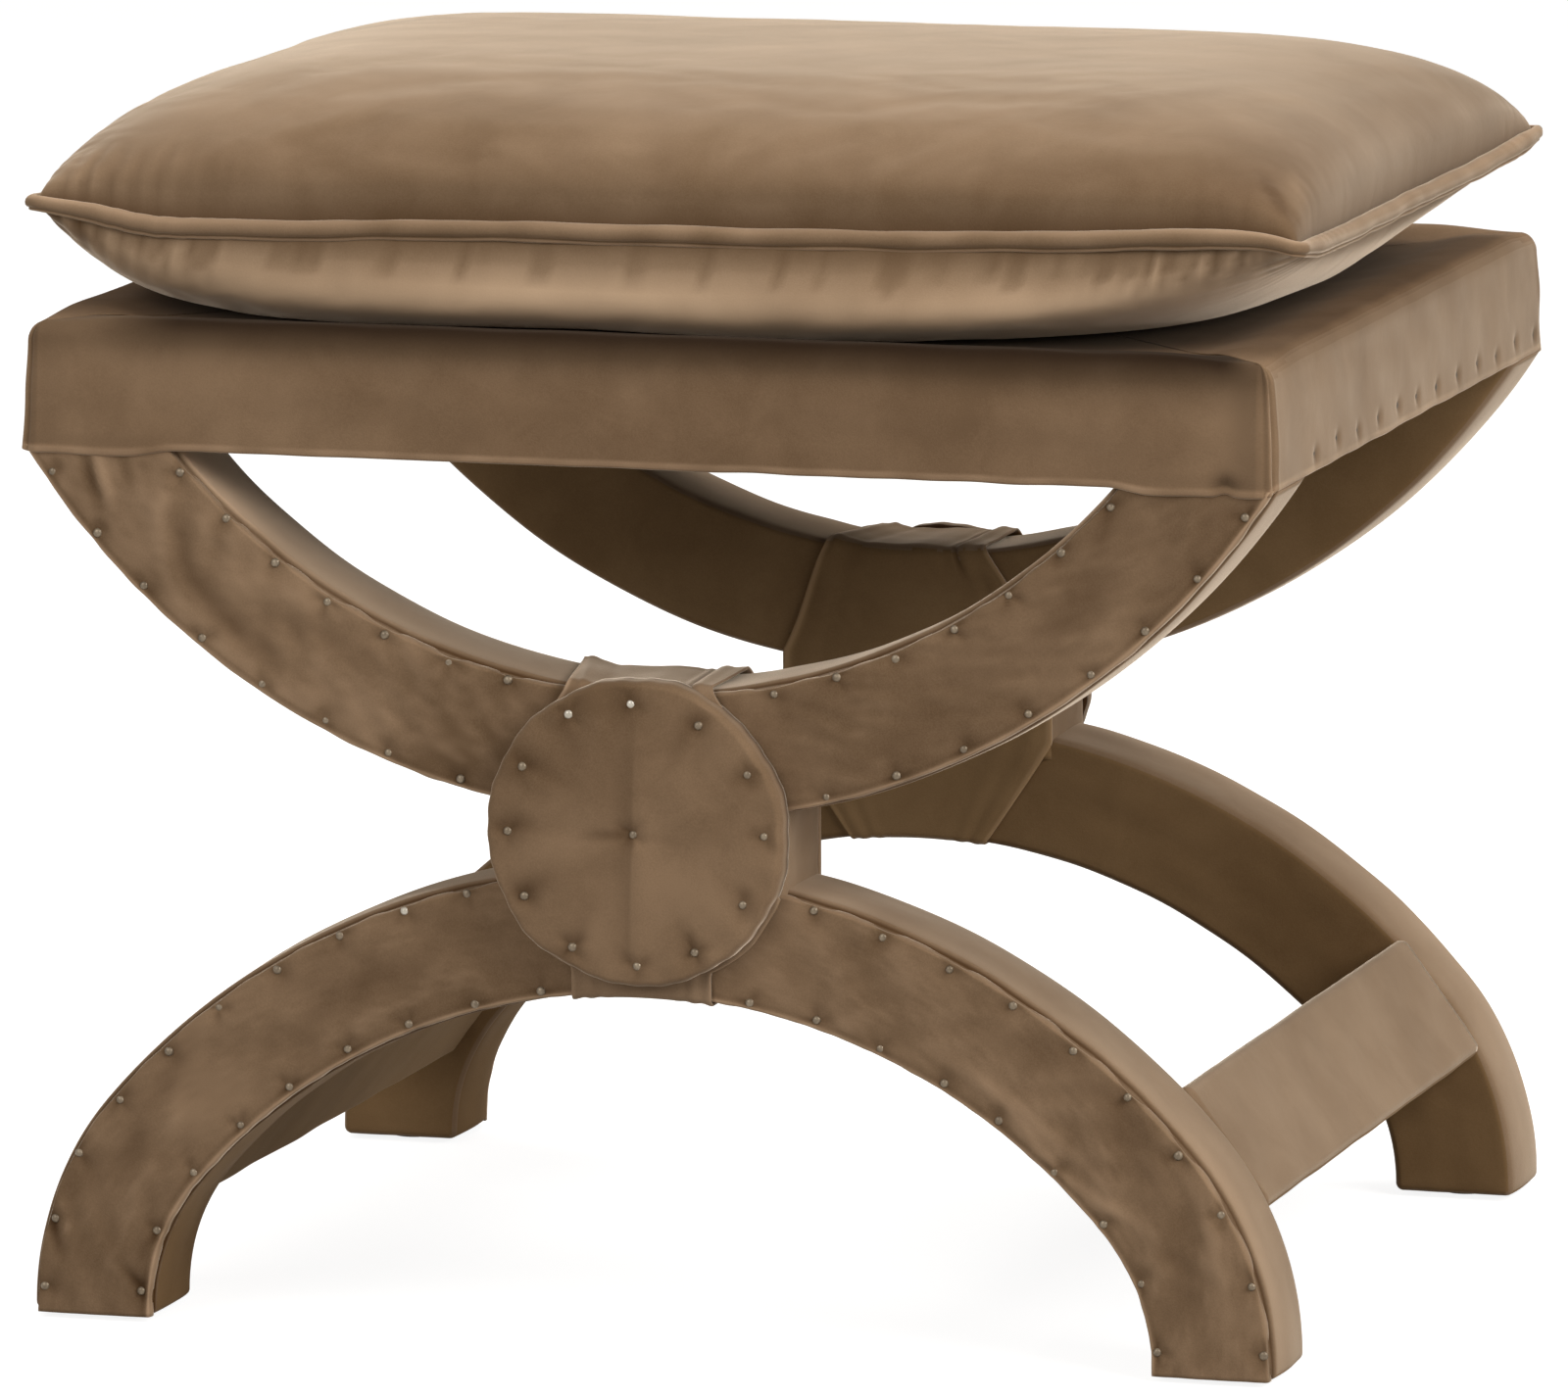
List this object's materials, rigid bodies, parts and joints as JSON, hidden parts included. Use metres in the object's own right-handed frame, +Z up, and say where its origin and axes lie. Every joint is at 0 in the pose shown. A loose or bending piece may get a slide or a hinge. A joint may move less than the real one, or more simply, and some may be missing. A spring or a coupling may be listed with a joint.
{
  "type": "upholstered x-frame ottoman",
  "caption": "Velvet ottoman: loose piped cushion on an upholstered deck carried by two X frames of back-to-back arches with round medallions, nailed edges and side stretchers.",
  "frame": {"origin": "middle of the floor under the ottoman, at the glides' lowest face", "axes": "+X along the width to the right seen from the front, +Y from the front frame to the back frame, +Z up"},
  "size_m": [0.5542, 0.4764, 0.519],
  "materials": {
    "velvet": "taupe cotton velvet with a soft sheen",
    "timber": "planed hardwood, bare",
    "plywood": "bare plywood",
    "wadding": "bonded white wadding",
    "foam": "cut upholstery foam",
    "cushion_filling": "soft filled inner cushion",
    "cambric": "thin black non-woven cloth",
    "nail_metal": "pewter-coloured domed nail heads",
    "steel": "zinc-plated fasteners",
    "nylon": "dark moulded nylon"
  },
  "bodies": {
    "base": {"front_upper_core": "timber", "front_upper_wadding": "wadding", "front_upper_wrap": "velvet", "front_upper_face": "velvet", "front_upper_nails": "nail_metal", "front_lower_core": "timber", "front_lower_wadding": "wadding", "front_lower_wrap": "velvet", "front_lower_face": "velvet", "front_lower_nails": "nail_metal", "back_upper_core": "timber", "back_upper_wadding": "wadding", "back_upper_wrap": "velvet", "back_upper_face": "velvet", "back_upper_nails": "nail_metal", "back_lower_core": "timber", "back_lower_wadding": "wadding", "back_lower_wrap": "velvet", "back_lower_face": "velvet", "back_lower_nails": "nail_metal", "front_hub_block": "timber", "front_hub_wadding": "wadding", "front_hub_wrap": "velvet", "front_medallion_board": "plywood", "front_medallion_wadding": "wadding", "front_medallion_cover": "velvet", "front_medallion_nails": "nail_metal", "back_hub_block": "timber", "back_hub_wadding": "wadding", "back_hub_wrap": "velvet", "back_medallion_board": "plywood", "back_medallion_wadding": "wadding", "back_medallion_cover": "velvet", "back_medallion_nails": "nail_metal", "medallion_screws": "steel", "dowels": "timber", "left_stretcher_core": "timber", "left_stretcher_wadding": "wadding", "left_stretcher_cover": "velvet", "right_stretcher_core": "timber", "right_stretcher_wadding": "wadding", "right_stretcher_cover": "velvet", "stretcher_screws": "steel", "front_rail": "timber", "back_rail": "timber", "left_rail": "timber", "right_rail": "timber", "corner_blocks": "timber", "deck_board": "plywood", "board_screws": "steel", "deck_bolts": "steel", "deck_foam": "foam", "deck_cover": "velvet", "dust_cover": "cambric", "hem_nails": "nail_metal", "foot_glides": "nylon"},
    "cushion": {"cushion_insert": "cushion_filling", "cushion_top": "velvet", "cushion_bottom": "velvet", "cushion_piping": "velvet"}
  },
  "joints": [
    {"name": "cushion_lift", "type": "slide", "parent": "base", "child": "cushion", "axis": [0, 0, 1], "range_m": [0, 0.25]}
  ]
}
